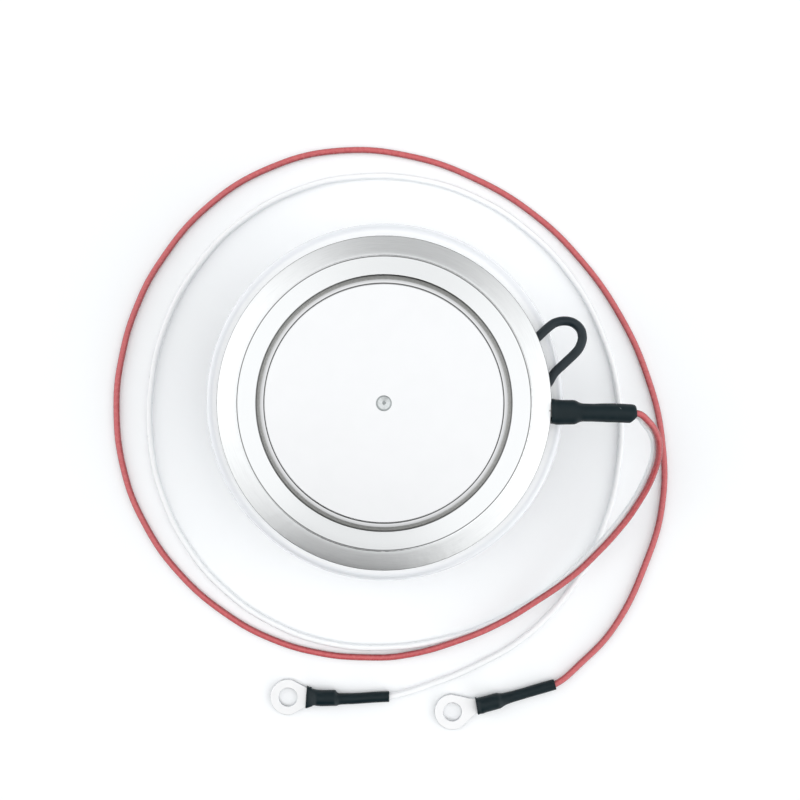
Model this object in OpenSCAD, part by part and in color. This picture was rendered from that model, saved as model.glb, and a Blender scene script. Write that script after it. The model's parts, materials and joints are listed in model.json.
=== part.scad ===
/* [Capsule] */
// Height over the two contact faces
capsule_h = 26; // [24:0.5:32]
// Diameter of each contact face
face_d = 53; // [44:0.5:60]
// Width of the ledge turned round each contact face
ledge_w = 1; // [0.6:0.1:1.4]
// Drop from a contact face to its ledge
ledge_drop = 0.45; // [0.2:0.05:0.6]
// Chamfer on the edge of each contact face
face_chamfer = 0.15; // [0.05:0.05:0.2]
// Diameter of the centring hole in each contact face
centring_d = 3.5; // [3:0.1:4]
// Depth of the straight part of a centring hole
centring_depth = 2; // [1:0.1:2.4]

/* [Lid and rims] */
// Thickness of each pressed sheet ring
sheet_t = 0.4; // [0.3:0.05:0.5]
// How far the welded rim stands out past the ceramic's land
rim_reach = 2.8; // [1.5:0.1:4]
// Distance from the edge of the land in to the lid's step
step_inset = 1.85; // [1:0.05:2.5]
// Width of the groove between pole and lid
groove_w = 1; // [0.8:0.1:1.4]
// Drop from the upper contact face to the top of the lid
lid_drop = 0.7; // [0.5:0.1:1.2]
// Drop from the lid to its rim
rim_step = 0.4; // [0.3:0.05:0.6]
// Drop from the lower rim sheet to its brazed seat
seat_drop = 0.3; // [0.2:0.1:0.6]
// Depth of the fold brazed to the side of a pole
fold_depth = 0.9; // [0.7:0.1:1.4]

/* [Ceramic] */
// Wall of the ceramic ring
ceramic_wall = 4.9; // [4:0.1:6]
// How far each shed stands out from the land
shed_reach = 6.5; // [4:0.1:8]
// Number of sheds
shed_count = 3; // [1:1:3]
// Thickness of a shed, whose tip is a full round
shed_t = 2.6; // [2:0.1:2.9]
// Distance from one shed to the next
shed_pitch = 5; // [4.4:0.1:5.4]
// Height of the land above the top shed
top_land = 5.1; // [4.6:0.1:5.6]
// Radius where a shed meets the land
shed_fillet = 1.2; // [0.6:0.1:1.3]
// Chamfer on the upper and lower edge of the land
land_chamfer = 0.4; // [0.2:0.1:0.6]
// Height of the ceramic's foot above the lower contact face
foot_h = 2.6; // [2:0.1:3]

/* [Stack] */
// Height of the cathode pole
cathode_pole_h = 10.7; // [9.6:0.1:12]
// How far the body of each pole is set in from its contact face
body_inset = 1.5; // [1:0.1:3]
// Height of the shoulder inside the cathode pole's ledge
collar_h = 3; // [2.6:0.1:3.4]
// Height of the lower pole's wide base
base_h = 5; // [4.4:0.1:5.6]
// Thickness of the silicon wafer
wafer_t = 0.8; // [0.5:0.05:1]
// Thickness of the disc under the wafer
anode_disc_t = 2; // [1.5:0.1:3]
// Thickness of the disc on the wafer
cathode_disc_t = 1.5; // [1:0.1:2]
// Width of the wafer's bare edge round the disc on it
bare_edge = 2; // [1.6:0.1:4]
// Width of the rubber bead round the wafer
bead_w = 1.2; // [0.8:0.1:2]
// Height of the rubber bead
bead_h = 2.2; // [1.8:0.1:2.6]
// Wall of the locating ring round the bead
locating_wall = 3; // [2.4:0.1:4]
// Gap between neighbouring pieces that only locate each other
locating_gap = 0.2; // [0.1:0.05:0.3]

/* [Gate] */
// Bore for the gate contact in the cathode pole
gate_bore_d = 6.2; // [5.6:0.1:7]
// Copper left between that bore and the centring hole
web_t = 0.9; // [0.6:0.1:1.2]
// Wall of the insulating cup
bush_wall = 0.8; // [0.5:0.1:0.9]
// Diameter of the pin that touches the gate
pin_d = 1.8; // [1.2:0.1:2]
// Diameter of the pin's head
pin_head_d = 3.4; // [3:0.1:3.8]
// Thickness of the pin's head
pin_head_t = 0.9; // [0.8:0.1:1.2]
// Wire diameter of the gate spring
spring_wire_d = 0.4; // [0.3:0.05:0.5]
// Turns of the gate spring
spring_turns = 4; // [3:1:5]
// Diameter of the gate wire
gate_wire_d = 0.6; // [0.4:0.05:0.7]
// Wall of the insulating sleeve on the gate wire
wire_sleeve_wall = 0.3; // [0.2:0.05:0.35]
// Direction in which the gate tube leaves, from the X axis
gate_angle = 21.7; // [20:0.1:23]
// Outside diameter of the gate tube
gate_tube_d = 1.4; // [1.3:0.05:1.6]
// Drop from the underside of the rim to the axis of the gate tube
gate_tube_drop = 2; // [1.8:0.1:2.2]
// Bend of the gate tube outside the ceramic
gate_tube_bend = 20.3; // [15:0.1:25]

/* [Junction] */
// Length of the sleeve over the junction
junction_l = 18.95; // [17:0.05:20]
// Wall of the junction sleeve
junction_wall = 0.4; // [0.3:0.05:0.45]
// How much wider the flat part of the junction sleeve is than the round part
junction_flare_w = 1.5; // [1.2:0.05:2]
// How much taller the flat part is than the round part
junction_flare_h = 0.85; // [0.7:0.05:1.2]
// Width of the tab on the rim
tab_w = 3; // [2:0.1:3.4]
// Wall of the black sleeve on the gate wire
jumper_wall = 0.3; // [0.2:0.05:0.35]

/* [Leads] */
// Diameter of each lead
lead_d = 1.5; // [1.3:0.1:1.7]

/* [Terminals] */
// Stud hole of a ring terminal
stud_hole_d = 4.5; // [4.3:0.1:5.3]
// Outside diameter of the ring
ring_d = 8.7; // [7.6:0.1:9.8]
// Thickness of the ring's tongue
tongue_t = 0.8; // [0.6:0.1:1]
// Diameter of the crimped barrel
barrel_d = 3.2; // [2.8:0.1:3.6]
// Distance from the stud hole to the barrel
neck_x = 6.5; // [6:0.1:8]
// Length of the barrel
barrel_l = 5.2; // [4.4:0.1:6.5]
// Wall of a terminal sleeve
sleeve_wall = 0.3; // [0.3:0.05:0.5]
// Length of the red terminal's sleeve past the barrel
red_tail_l = 14.2; // [10:0.1:16]
// Length of the white terminal's sleeve past the barrel
white_tail_l = 13; // [10:0.1:15]

/* [Hidden] */

$fn = 96;
eps = 0.01;
overshoot = 2;

// Levels above the lower contact face
lid_z = capsule_h - lid_drop;
rim_z = lid_z - rim_step;
rim_under_z = rim_z - 2 * sheet_t;
ceramic_top_z = rim_under_z - seat_drop - sheet_t;
pole_foot_z = capsule_h - cathode_pole_h;
wafer_top_z = pole_foot_z - cathode_disc_t;
wafer_z = wafer_top_z - wafer_t;
anode_disc_z = wafer_z - anode_disc_t;
gate_z = rim_under_z - gate_tube_drop;

// Radii, from the contact face in to the wafer and out to the sheds
face_r = face_d / 2;
ledge_r = face_r + ledge_w;
groove_r = ledge_r + groove_w;
body_r = face_r - body_inset;
wafer_r = body_r;
cathode_disc_r = wafer_r - bare_edge;
bead_r = wafer_r + bead_w;
bore_r = bead_r + locating_gap + locating_wall + locating_gap;
land_r = bore_r + ceramic_wall;
shed_r = land_r + shed_reach;
rim_r = land_r + rim_reach;
step_r = land_r - step_inset;

// Bends of the rim sheet over its brazed seat
seat_inset = 0.5;
seat_edge = 1;
seat_rise = 0.6;
seat_inner_r = bore_r + seat_inset;
seat_outer_r = land_r - seat_edge;
rim_seat_r = seat_outer_r + seat_rise;

// Small edges of the poles, the folds, the floor of a centring hole and the bead
lid_lip_drop = 0.55;
foot_lip_drop = 0.3;
pole_foot_chamfer = 0.5;
dimple_d = 0.8;
dimple_h = 0.35;
floor_slope = 7;
hole_floor_h = (centring_d - dimple_d) / 2 * tan(floor_slope);
wafer_bevel = wafer_t / 2;
bead_rise = 0.5;
bead_z = wafer_top_z + bead_rise - bead_h;
bead_chamfer = 0.3;

// Gate contact
gate_bore_depth = cathode_pole_h - centring_depth - hole_floor_h - dimple_h - web_t;
bush_gap = 0.1;
bush_floor = 0.9;
bush_r = gate_bore_d / 2 - bush_gap;
bush_bore_r = bush_r - bush_wall;
bush_roof_z = pole_foot_z + gate_bore_depth - locating_gap - bush_wall;
guide_r = pin_d / 2 + bush_wall;
pin_gap = 0.1;
pin_tip_h = 0.3;
pin_head_z = pole_foot_z + bush_floor;
slot_w = gate_wire_d + 2 * wire_sleeve_wall + 2 * locating_gap;
wire_z = pin_head_z + pin_head_t / 2;
wire_turn_r = 1.4;
wire_standoff = 2.2;
wire_rise_r = body_r + wire_standoff;
wire_slip = 0.02;
spring_gap = 0.2;
spring_steps = 18;

// Gate tube, from inside the ceramic to its bent end
tube_elbow_r = 3;
tube_reach_in = 0.6;
tube_start_r = bore_r - tube_reach_in;
tube_tip_l = 2.2;
tube_slack = 0.3;
tube_bore_d = gate_wire_d + tube_slack;
tube_bore_stop = 0.6;
wire_stop = 0.8;
wire_sleeve_stop = 0.1;
tube_elbow_steps = 4;
braze_gap = 0.01;

// Junction
tab_y = -1.7;
tab_t = 0.4;
tab_inset = 0.3;
tab_start_x = land_r + tab_inset;
tab_z = rim_under_z - tab_t;
lead_start_l = 6;
lead_start_x = rim_r + lead_start_l;
tab_stop = 1.6;
tab_end_x = lead_start_x - tab_stop;
solder_on_tab = 3;
solder_start_x = tab_end_x - solder_on_tab;
rim_gap = 0.05;
junction_x = rim_r + rim_gap;
junction_end_x = junction_x + junction_l;
lead_bend_l = 0.6;
lead_bend_x = junction_end_x + lead_bend_l;
junction_y = -2.2;
junction_end_y = -2.4;
junction_flat_y = -2.1;
junction_mouth_y = -1.9;
junction_drop = 0.7;
junction_flat_drop = 1.15;
junction_z = rim_under_z - junction_drop;
junction_flat_z = rim_under_z - junction_flat_drop;
red_exit_y = -2.4;
white_exit_y = -2.9;
red_exit_z = junction_z + lead_d / 2;
white_exit_z = junction_z - lead_d / 2;
junction_slack = 0.15;
junction_r = lead_d + junction_wall + junction_slack / 2;
junction_half_w = junction_r + junction_flare_w / 2;
junction_half_h = junction_r + junction_flare_h / 2;
junction_lip = 0.08;
junction_swell = 0.05;
junction_end_inset = 0.3;
junction_end_r = junction_r - junction_end_inset;
// Where the mouth's lean, the flat part and the taper end, and the round end of the far end
junction_mouth_l = 1.3;
junction_flat_l = 4.9;
junction_taper_l = 7;
junction_round_l = 0.5;
// Corner cut off the far end, on the terminals' side
junction_corner = 1.1;
pocket_gap = 0.05;
solder_inset = 0.1;
solder_d = lead_d - solder_inset;
splice_d = 1.7;
splice_l = 2.6;
jumper_wire_d = 0.7;
jumper_slack = 0.1;
jumper_bore_d = gate_tube_d + jumper_slack;
jumper_d = jumper_bore_d + 2 * jumper_wall;
jumper_start_gap = 0.3;
jumper_wire_gap = 0.05;
jumper_wire_straight = 0.6;

// Ring terminals: stud hole and direction of each
red_stud = [16.2, -76.3];
red_angle = 15.3;
white_stud = [-24, -72.7];
white_angle = 0.5;
tongue_z = sleeve_wall;
barrel_z = tongue_z + barrel_d / 2;
barrel_end = neck_x + barrel_l;
red_sleeve_end = barrel_end + red_tail_l;
white_sleeve_end = barrel_end + white_tail_l;
flank_x = 0.9;
flank_inset = 0.1;
shoulder_w = 4.6;
shoulder_l = 1.9;
shoulder_x = neck_x - shoulder_l;
throat_rise = 1.3;
throat_x = neck_x - throat_rise;
throat_l = 0.2;
// Front of each terminal's sleeve: distance before the barrel, width and height
red_front = [0.4, 4, 3.1];
white_front = [1.9, 5.3, 1.6];
// Sideways place of each lead in its sleeve: at the barrel's end and at the sleeve's end
red_side = [-0.15, 0];
white_side = [-0.4, 0.05];
sleeve_step_l = 1;
// Straight end of each lead, square to its barrel
lead_straight = 0.5;
shrink_gap = 0.25;
lead_low_z = lead_d / 2 + sleeve_wall + shrink_gap;

function turned(p, a) = [p[0] * cos(a) - p[1] * sin(a), p[0] * sin(a) + p[1] * cos(a)];
function beside(stud, a, l, side, z) = concat(stud + turned([l, side], a), [z]);

// Black loop from the gate tube back to the junction: distance out from the rim, and y
elbow_end = [land_r + tube_elbow_r * sin(gate_tube_bend), tube_elbow_r * (1 - cos(gate_tube_bend))];
jumper_start = concat(turned(elbow_end, gate_angle), [gate_z]);
jumper_dir = concat(turned([cos(gate_tube_bend), sin(gate_tube_bend)], gate_angle), [0]);
jumper_points = [
    [-0.3, 17], [1.2, 18], [3.2, 18.4], [5.2, 18], [6.8, 16.6], [7.3, 14.7], [6.9, 13], [5.9, 11.4],
    [3.2, 8.8], [1.1, 6.8], [-0.1, 4.9], [-1.1, 3.3], [-1.4, 1.8], [-1.2, 0.3], [-0.5, -0.9],
    [0.7, -1.6], [1.9, -2],
];
jumper_loop = [for (q = jumper_points) [rim_r + q[0], q[1], gate_z]];
jumper_route = concat(
    [jumper_start + jumper_start_gap * jumper_dir, jumper_start + tube_tip_l * jumper_dir],
    jumper_loop
);
jumper_wire_route = concat(
    [jumper_start + (tube_tip_l + jumper_wire_gap) * jumper_dir],
    jumper_loop,
    [
        [lead_start_x - splice_l - jumper_wire_straight, white_exit_y, white_exit_z],
        [lead_start_x - splice_l, white_exit_y, white_exit_z],
    ]
);

// Leads: out of the junction, down to the floor, once round the capsule and into the terminals
red_points = [
    [59, -4, 23.7], [61.5, -7, 21.4], [62.5, -10, 19.5], [62.5, -16, 15], [59, -25.5, 9.4],
    [55.5, -31, 7.2], [50.5, -37, 5.5], [45.5, -42, 4.5], [36, -49, 3.4], [28, -54, 2.6], [19, -58, 2.4],
    [4, -62.5, 1.1], [-5, -63, 0.8], [-16, -62, 0.8], [-28, -58.5, 0.8], [-39, -52.5, 0.8], [-51, -42, 0.8],
    [-59, -30.5, 0.8], [-64, -18, 0.8], [-66, -1, 0.8], [-64.5, 11.5, 0.8], [-61, 23, 0.8],
    [-55.5, 33.5, 0.8], [-43.5, 47.5, 0.8], [-28, 57, 0.8], [-11.5, 61, 0.8], [6.5, 59.5, 0.8],
    [22, 54, 0.8], [36, 45.5, 0.8], [47, 35, 0.8], [57, 21, 0.8], [64, 5.5, 0.8], [67.5, -9.5, 0.8],
    [67.5, -26, 0.8], [63.5, -40, 0.8], [55.5, -56, 0.8], [47.5, -64.5, 0.9],
];
white_points = [
    [58.5, -4.5, 21.5], [60.5, -7, 20.1], [62, -11.5, 16.3], [60.5, -20, 10.5], [58, -25.5, 7.6],
    [54.5, -31, 5.4], [49.5, -37, 3.8], [40.5, -45.5, 2.3], [32.5, -51, 1.4], [25, -55, 0.9],
    [16.5, -58, 0.8], [1, -60.5, 0.8], [-14, -59.5, 0.8], [-28, -54.5, 0.8], [-39.5, -46.5, 0.8],
    [-48.5, -36, 0.8], [-54.5, -24, 0.8], [-57.5, -11.5, 0.8], [-57.5, 4, 0.8], [-54, 18.5, 0.8],
    [-46, 33, 0.8], [-34.5, 44.5, 0.8], [-20, 52, 0.8], [-8, 54.5, 0.8], [7.5, 54, 0.8], [22, 49.5, 0.8],
    [34.5, 41.5, 0.8], [45, 30.5, 0.8], [52.5, 17, 0.8], [57, 0, 0.8], [57, -15, 0.8], [53, -31.5, 0.8],
    [46, -45, 0.8], [34.5, -57.5, 0.8], [21, -65.5, 0.8], [12.5, -69, 0.8],
];
red_route = concat(
    [[lead_start_x, red_exit_y, red_exit_z], [lead_bend_x, red_exit_y, red_exit_z]],
    red_points,
    [
        beside(red_stud, red_angle, red_sleeve_end, red_side[1], lead_low_z),
        beside(red_stud, red_angle, barrel_end + lead_straight, red_side[0], lead_low_z),
        beside(red_stud, red_angle, barrel_end, red_side[0], lead_low_z),
    ]
);
white_route = concat(
    [[lead_start_x, white_exit_y, white_exit_z], [lead_bend_x, white_exit_y, white_exit_z]],
    white_points,
    [
        beside(white_stud, white_angle, white_sleeve_end, white_side[1], lead_low_z),
        beside(white_stud, white_angle, barrel_end + lead_straight, white_side[0], lead_low_z),
        beside(white_stud, white_angle, barrel_end, white_side[0], lead_low_z),
    ]
);

// Sweep of a round section along a route, with flat ends
function unit(v) = v / norm(v);
function heading(p, i) = unit(p[min(i + 1, len(p) - 1)] - p[max(i - 1, 0)]);
function ring_at(p, i, r, sides) =
    let (t = heading(p, i), s = unit(cross(t, [0, 0, 1])), u = cross(s, t))
    [for (k = [0 : sides - 1]) p[i] + r * (cos(360 * k / sides) * u + sin(360 * k / sides) * s)];
function skin_faces(rings, sides) = concat(
    [[for (k = [sides - 1 : -1 : 0]) k]],
    [for (i = [0 : rings - 2], k = [0 : sides - 1])
        let (a = i * sides + k, b = i * sides + (k + 1) % sides) [a, b, b + sides, a + sides]],
    [[for (k = [0 : sides - 1]) (rings - 1) * sides + k]]
);

// Points between the given ones, on a smooth curve through them
function curve_point(a, b, c, d, t) =
    b + 0.5 * t * (c - a + t * (2 * a - 5 * b + 4 * c - d + t * (3 * b - a - 3 * c + d)));
function smooth(p, steps) = concat(
    [for (i = [0 : len(p) - 2], k = [0 : steps - 1])
        curve_point(p[max(i - 1, 0)], p[i], p[i + 1], p[min(i + 2, len(p) - 1)], k / steps)],
    [p[len(p) - 1]]
);

module tube(route, d, sides) {
    points = [for (i = [0 : len(route) - 1]) each ring_at(route, i, d / 2, sides)];
    polyhedron(points = points, faces = skin_faces(len(route), sides), convexity = 8);
}

// The same with a bore: each station holds an outer ring and then an inner one
module hollow_tube(route, d, bore, sides) {
    n = 2 * sides;
    last = n * (len(route) - 1);
    points = [for (i = [0 : len(route) - 1])
        each concat(ring_at(route, i, d / 2, sides), ring_at(route, i, bore / 2, sides))];
    faces = concat(
        [for (k = [0 : sides - 1])
            let (m = (k + 1) % sides) [m, k, sides + k, sides + m]],
        [for (i = [0 : len(route) - 2], k = [0 : sides - 1])
            let (a = i * n + k, b = i * n + (k + 1) % sides) [a, b, b + n, a + n]],
        [for (i = [0 : len(route) - 2], k = [0 : sides - 1])
            let (a = i * n + sides + k, b = i * n + sides + (k + 1) % sides) [b, a, a + n, b + n]],
        [for (k = [0 : sides - 1])
            let (m = (k + 1) % sides) [last + k, last + m, last + sides + m, last + sides + k]]
    );
    polyhedron(points = points, faces = faces, convexity = 8);
}

// Skin over rounded sections: each station is x, y, z, half width, half height and squareness,
// where a squareness of 2 is an oval and more is boxier
function rounded(c, squareness) = sign(c) * pow(abs(c), 2 / squareness);
module loft(stations, grow = 0, sides = 28) {
    points = [for (s = stations, k = [0 : sides - 1])
        let (a = 360 * k / sides)
        [s[0], s[1] + (s[3] + grow) * rounded(sin(a), s[5]), s[2] + (s[4] + grow) * rounded(cos(a), s[5])]];
    polyhedron(points = points, faces = skin_faces(len(stations), sides), convexity = 4);
}

// Pressed sheet ring: a strip of even thickness along a line of radius and height, with round
// bends, and with a round edge where the line ends
module sheet_ring(line, t) {
    rotate_extrude() {
        for (i = [0 : len(line) - 2])
            let (a = line[i], b = line[i + 1], l = norm(b - a))
                translate(a)
                    rotate(atan2(b[1] - a[1], b[0] - a[0]))
                        translate([0, -t / 2])
                            square([l, t]);
        for (i = [1 : len(line) - 1])
            translate(line[i])
                circle(d = t, $fn = 24);
    }
}

module disc(r, t, hole_r = 0) {
    difference() {
        cylinder(r = r, h = t);
        if (hole_r > 0)
            translate([0, 0, -eps])
                cylinder(r = hole_r, h = t + 2 * eps);
    }
}

// Outline of a pole from its contact face at height 0 upwards
module pole_outline(collar, body, height) {
    polygon([
        [0, 0], [face_r - face_chamfer, 0], [face_r, face_chamfer], [face_r, ledge_drop],
        [ledge_r, ledge_drop], [ledge_r, collar], [body, collar],
        [body, height - pole_foot_chamfer], [body - pole_foot_chamfer, height], [0, height],
    ]);
}

module centring_hole() {
    translate([0, 0, -eps])
        cylinder(d = centring_d, h = centring_depth + eps);
    translate([0, 0, centring_depth])
        cylinder(d1 = centring_d, d2 = dimple_d, h = hole_floor_h);
    translate([0, 0, centring_depth + hole_floor_h - eps])
        cylinder(d1 = dimple_d, d2 = dimple_d / 4, h = dimple_h + eps);
}

module cathode_pole() {
    color("gainsboro")
        difference() {
            translate([0, 0, capsule_h])
                mirror([0, 0, 1])
                    difference() {
                        rotate_extrude()
                            pole_outline(collar_h, body_r, cathode_pole_h);
                        centring_hole();
                    }
            translate([0, 0, pole_foot_z - eps])
                cylinder(d = gate_bore_d, h = gate_bore_depth + eps);
            rotate([0, 0, gate_angle])
                translate([0, -slot_w / 2, pole_foot_z - eps])
                    cube([face_r, slot_w, wire_z - pole_foot_z + slot_w / 2]);
        }
}

module cathode_lid() {
    fold_z = lid_z - fold_depth;
    color("lightgray")
        sheet_ring([
            [ledge_r + sheet_t / 2, lid_z - lid_lip_drop],
            [ledge_r + sheet_t / 2, fold_z - sheet_t / 2],
            [groove_r + sheet_t / 2, fold_z - sheet_t / 2],
            [groove_r + sheet_t / 2, lid_z - sheet_t / 2],
            [step_r + sheet_t / 2, lid_z - sheet_t / 2],
            [step_r + sheet_t / 2, rim_z - sheet_t / 2],
            [rim_r - sheet_t / 2, rim_z - sheet_t / 2],
        ], sheet_t);
}

module weld_ring() {
    color("silver")
        sheet_ring([
            [seat_inner_r, ceramic_top_z + sheet_t / 2],
            [seat_outer_r, ceramic_top_z + sheet_t / 2],
            [rim_seat_r, rim_under_z + sheet_t / 2],
            [rim_r - sheet_t / 2, rim_under_z + sheet_t / 2],
        ], sheet_t);
}

module ceramic_outline() {
    valley = shed_pitch - shed_t;
    top = ceramic_top_z - top_land - shed_t / 2;
    bottom = top - (shed_count - 1) * shed_pitch;
    difference() {
        union() {
            polygon([
                [bore_r, foot_h], [land_r - land_chamfer, foot_h], [land_r, foot_h + land_chamfer],
                [land_r, ceramic_top_z - land_chamfer], [land_r - land_chamfer, ceramic_top_z],
                [bore_r, ceramic_top_z],
            ]);
            for (i = [0 : shed_count - 1])
                translate([0, top - i * shed_pitch]) {
                    translate([bore_r, -shed_t / 2])
                        square([shed_r - shed_t / 2 - bore_r, shed_t]);
                    translate([shed_r - shed_t / 2, 0])
                        circle(d = shed_t, $fn = 48);
                }
            translate([land_r - eps, bottom])
                square([valley / 2 + eps, top - bottom]);
            translate([land_r - eps, bottom - shed_t / 2 - shed_fillet])
                square([shed_fillet + eps, top - bottom + shed_t + 2 * shed_fillet]);
        }
        for (i = [0 : 1 : shed_count - 2])
            translate([land_r + valley / 2, top - (i + 0.5) * shed_pitch]) {
                circle(d = valley, $fn = 48);
                translate([0, -valley / 2])
                    square([shed_r, valley]);
            }
        for (side = [[top + shed_t / 2, 1], [bottom - shed_t / 2, -1]])
            translate([land_r + shed_fillet, side[0] + side[1] * shed_fillet])
                circle(r = shed_fillet, $fn = 48);
    }
}

module ceramic_ring() {
    color("white")
        difference() {
            rotate_extrude()
                ceramic_outline();
            rotate([0, 0, gate_angle])
                translate([bore_r - overshoot, 0, gate_z])
                    rotate([0, 90, 0])
                        cylinder(d = gate_tube_d + 2 * braze_gap, h = ceramic_wall + 2 * overshoot);
        }
}

module anode_ring() {
    seat_z = foot_h - sheet_t / 2;
    fold_z = foot_h + fold_depth - sheet_t / 2;
    color("silver")
        sheet_ring([
            [ledge_r + sheet_t / 2, foot_h - foot_lip_drop],
            [ledge_r + sheet_t / 2, fold_z],
            [groove_r + sheet_t / 2, fold_z],
            [groove_r + sheet_t / 2, seat_z],
            [land_r - land_chamfer - sheet_t / 2, seat_z],
        ], sheet_t);
}

module anode_pole() {
    color("gainsboro")
        difference() {
            rotate_extrude()
                pole_outline(base_h, body_r, anode_disc_z);
            centring_hole();
        }
}

module cathode_disc() {
    color("slategray")
        translate([0, 0, wafer_top_z])
            disc(cathode_disc_r, cathode_disc_t, guide_r + locating_gap);
}

module silicon_wafer() {
    color("dimgray")
        translate([0, 0, wafer_z])
            cylinder(r1 = wafer_r, r2 = wafer_r - wafer_bevel, h = wafer_t);
}

module wafer_bead() {
    top_z = bead_z + bead_h;
    lip_r = wafer_r - (bare_edge + wafer_bevel) / 2;
    color("white")
        rotate_extrude()
            polygon([
                [wafer_r, bead_z], [bead_r, bead_z + bead_chamfer],
                [bead_r, top_z - bead_chamfer], [wafer_r, top_z], [lip_r, top_z],
                [lip_r, wafer_top_z], [wafer_r - wafer_bevel, wafer_top_z], [wafer_r, wafer_z],
            ]);
}

module anode_disc() {
    color("slategray")
        translate([0, 0, anode_disc_z])
            disc(wafer_r, anode_disc_t);
}

module locating_ring() {
    outer = bore_r - locating_gap;
    inner = body_r + locating_gap;
    wide = bead_r + locating_gap;
    step_z = bead_z - locating_gap;
    color("ivory")
        rotate_extrude()
            polygon([
                [inner, base_h], [outer, base_h], [outer, pole_foot_z], [wide, pole_foot_z],
                [wide, step_z], [inner, step_z],
            ]);
}

module gate_bush() {
    skirt_z = wafer_top_z + pin_tip_h;
    color("ivory")
        difference() {
            union() {
                translate([0, 0, pole_foot_z])
                    cylinder(r = bush_r, h = bush_roof_z + bush_wall - pole_foot_z);
                translate([0, 0, skirt_z])
                    cylinder(r = guide_r, h = pole_foot_z - skirt_z + eps);
            }
            translate([0, 0, pin_head_z])
                cylinder(r = bush_bore_r, h = bush_roof_z - pin_head_z);
            translate([0, 0, skirt_z - eps])
                cylinder(r = pin_d / 2 + pin_gap, h = pin_head_z - skirt_z + 2 * eps);
            rotate([0, 0, gate_angle])
                translate([0, -slot_w / 2, pin_head_z])
                    cube([face_r, slot_w, pin_head_t + pin_gap + locating_gap]);
        }
}

module gate_spring() {
    rest_z = pin_head_z + pin_head_t + spring_wire_d / 2;
    roof_z = bush_roof_z - spring_wire_d / 2;
    coil_r = bush_bore_r - spring_wire_d / 2 - spring_gap;
    steps = spring_steps * (spring_turns + 2);
    // One flat turn at each end, the open turns between them
    function rise(turn) = max(0, min(1, (turn - 1) / spring_turns));
    path = [for (i = [0 : steps])
        let (turn = i / spring_steps)
        [coil_r * cos(360 * turn), coil_r * sin(360 * turn),
            rest_z + eps + (roof_z - rest_z - 2 * eps - 2 * spring_wire_d) * rise(turn)
                + spring_wire_d * (min(1, turn) + max(0, turn - spring_turns - 1))]];
    color("goldenrod")
        tube(path, spring_wire_d, 6);
}

module gate_pin() {
    color("silver") {
        translate([0, 0, wafer_top_z])
            cylinder(d1 = pin_d - 2 * pin_tip_h, d2 = pin_d, h = pin_tip_h);
        translate([0, 0, wafer_top_z + pin_tip_h])
            cylinder(d = pin_d, h = pin_head_z - wafer_top_z - pin_tip_h + eps);
        translate([0, 0, pin_head_z])
            cylinder(d = pin_head_d, h = pin_head_t);
    }
}

// Round bar along the gate wire: out through the slot, up and out into the gate tube
module wire_run(d, start_r, end_r) {
    rise_start = wire_z + wire_turn_r;
    rise_end = gate_z - wire_turn_r;
    rotate([0, 0, gate_angle]) {
        translate([start_r, 0, wire_z])
            rotate([0, 90, 0])
                cylinder(d = d, h = wire_rise_r - wire_turn_r - start_r, $fn = 24);
        translate([wire_rise_r - wire_turn_r, 0, rise_start])
            rotate([90, 0, 0])
                rotate([0, 0, -90])
                    rotate_extrude(angle = 90)
                        translate([wire_turn_r, 0])
                            circle(d = d, $fn = 24);
        translate([wire_rise_r, 0, rise_start])
            cylinder(d = d, h = rise_end - rise_start, $fn = 24);
        translate([wire_rise_r + wire_turn_r, 0, rise_end])
            rotate([90, 0, 0])
                rotate([0, 0, 90])
                    rotate_extrude(angle = 90)
                        translate([wire_turn_r, 0])
                            circle(d = d, $fn = 24);
        translate([wire_rise_r + wire_turn_r, 0, gate_z])
            rotate([0, 90, 0])
                cylinder(d = d, h = end_r - wire_rise_r - wire_turn_r, $fn = 24);
    }
}

module gate_wire() {
    color("silver")
        wire_run(gate_wire_d, pin_head_d / 2, land_r - wire_stop);
}

module gate_wire_sleeve() {
    color("whitesmoke")
        difference() {
            wire_run(
                gate_wire_d + 2 * wire_sleeve_wall,
                bush_r + locating_gap,
                tube_start_r - wire_sleeve_stop
            );
            wire_run(gate_wire_d + 2 * wire_slip, bush_r, tube_start_r);
        }
}

module gate_tube() {
    tip_dir = [cos(gate_tube_bend), sin(gate_tube_bend), 0];
    elbow = [for (k = [0 : tube_elbow_steps])
        let (a = gate_tube_bend * k / tube_elbow_steps)
        [land_r + tube_elbow_r * sin(a), tube_elbow_r * (1 - cos(a)), 0]];
    tip = elbow[tube_elbow_steps] + tube_tip_l * tip_dir;
    color("silver")
        rotate([0, 0, gate_angle])
            translate([0, 0, gate_z])
                difference() {
                    tube(concat([[tube_start_r, 0, 0]], elbow, [tip]), gate_tube_d, 16);
                    translate([tube_start_r - eps, 0, 0])
                        rotate([0, 90, 0])
                            cylinder(d = tube_bore_d, h = land_r - tube_bore_stop - tube_start_r, $fn = 24);
                }
}

module cathode_tab() {
    color("silver")
        translate([tab_start_x, tab_y, tab_z])
            linear_extrude(tab_t)
                union() {
                    translate([tab_w / 2, -tab_w / 2])
                        square([tab_end_x - tab_start_x - tab_w / 2, tab_w]);
                    translate([tab_w / 2, 0])
                        circle(d = tab_w);
                }
}

module cathode_solder() {
    top_z = tab_z + tab_t;
    length = lead_start_x - solder_start_x;
    color("silver")
        intersection() {
            translate([solder_start_x, red_exit_y, top_z]) {
                sphere(d = solder_d, $fn = 32);
                rotate([0, 90, 0])
                    cylinder(d = solder_d, h = length, $fn = 32);
            }
            translate([solder_start_x - solder_d, red_exit_y - solder_d, top_z])
                cube([length + solder_d, 2 * solder_d, solder_d]);
        }
}

module gate_splice() {
    color("silver")
        translate([lead_start_x - splice_l, white_exit_y, white_exit_z])
            rotate([0, 90, 0])
                cylinder(d = splice_d, h = splice_l, $fn = 32);
}

module jumper_wire() {
    color("silver")
        tube(jumper_wire_route, jumper_wire_d, 6);
}

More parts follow.
